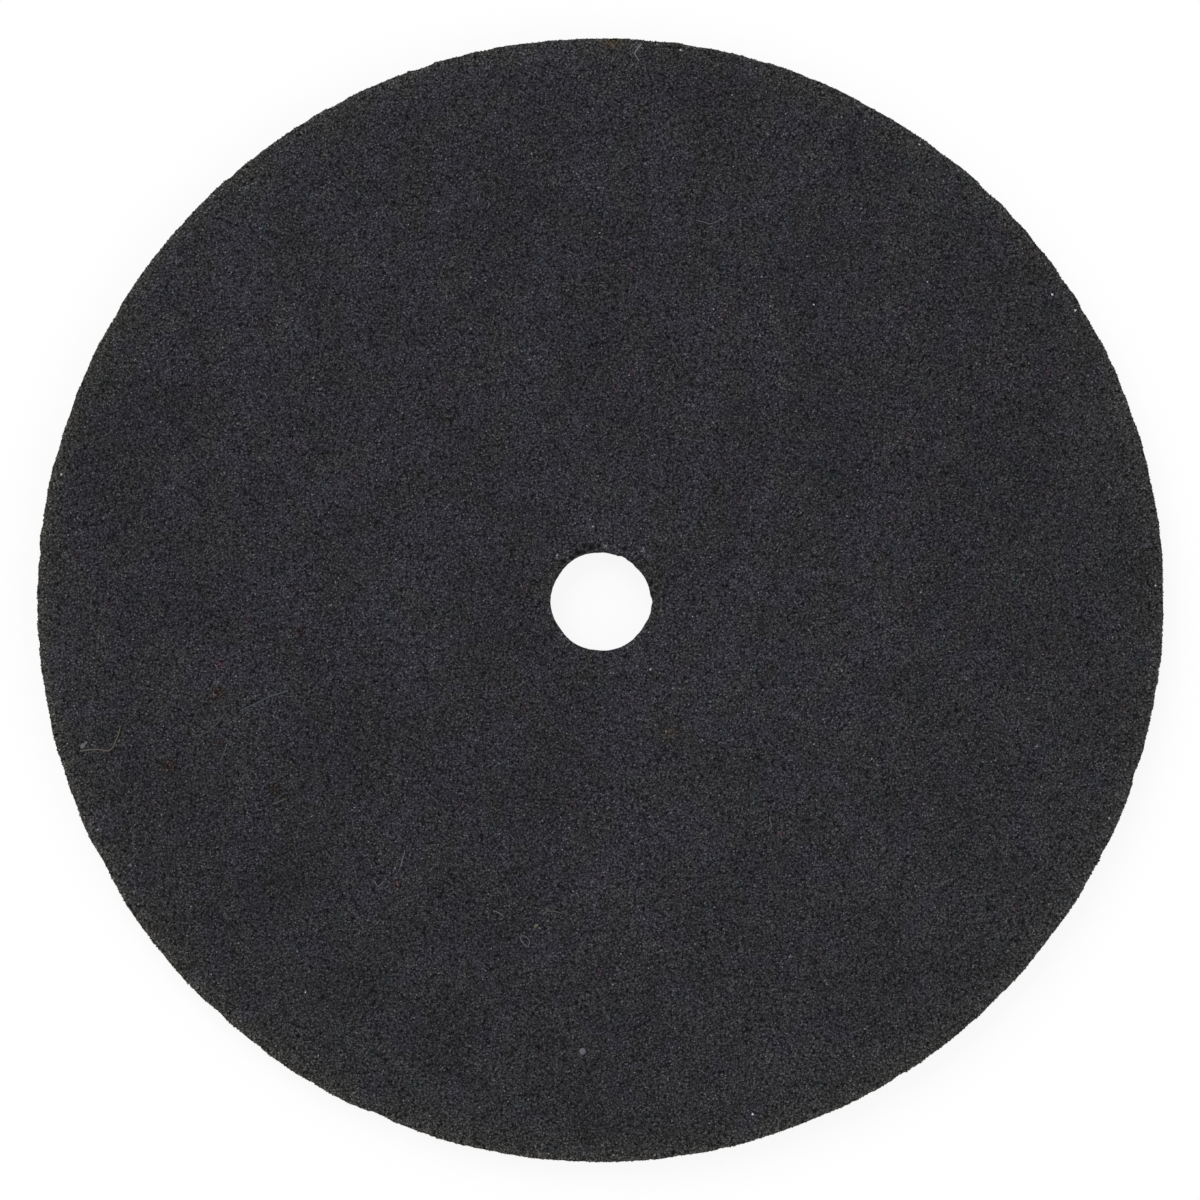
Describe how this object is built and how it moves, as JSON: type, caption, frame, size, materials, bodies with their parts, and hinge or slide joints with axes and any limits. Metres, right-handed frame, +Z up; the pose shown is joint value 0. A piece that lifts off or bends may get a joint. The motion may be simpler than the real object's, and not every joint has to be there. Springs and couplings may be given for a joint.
{
  "type": "cut off wheel",
  "caption": "Thin flat abrasive disc with a plain central bore, for cutting metal on a small rotary tool.",
  "frame": {"origin": "on the disc's axis, on its lower face", "axes": "+Z up along the disc's axis, through its thickness; +X to the picture's right and +Y to its top"},
  "size_m": [0.022, 0.022, 0.0007],
  "materials": {
    "abrasive": "matte"
  },
  "bodies": {
    "root": {"abrasive_disc": "abrasive"}
  },
  "joints": []
}
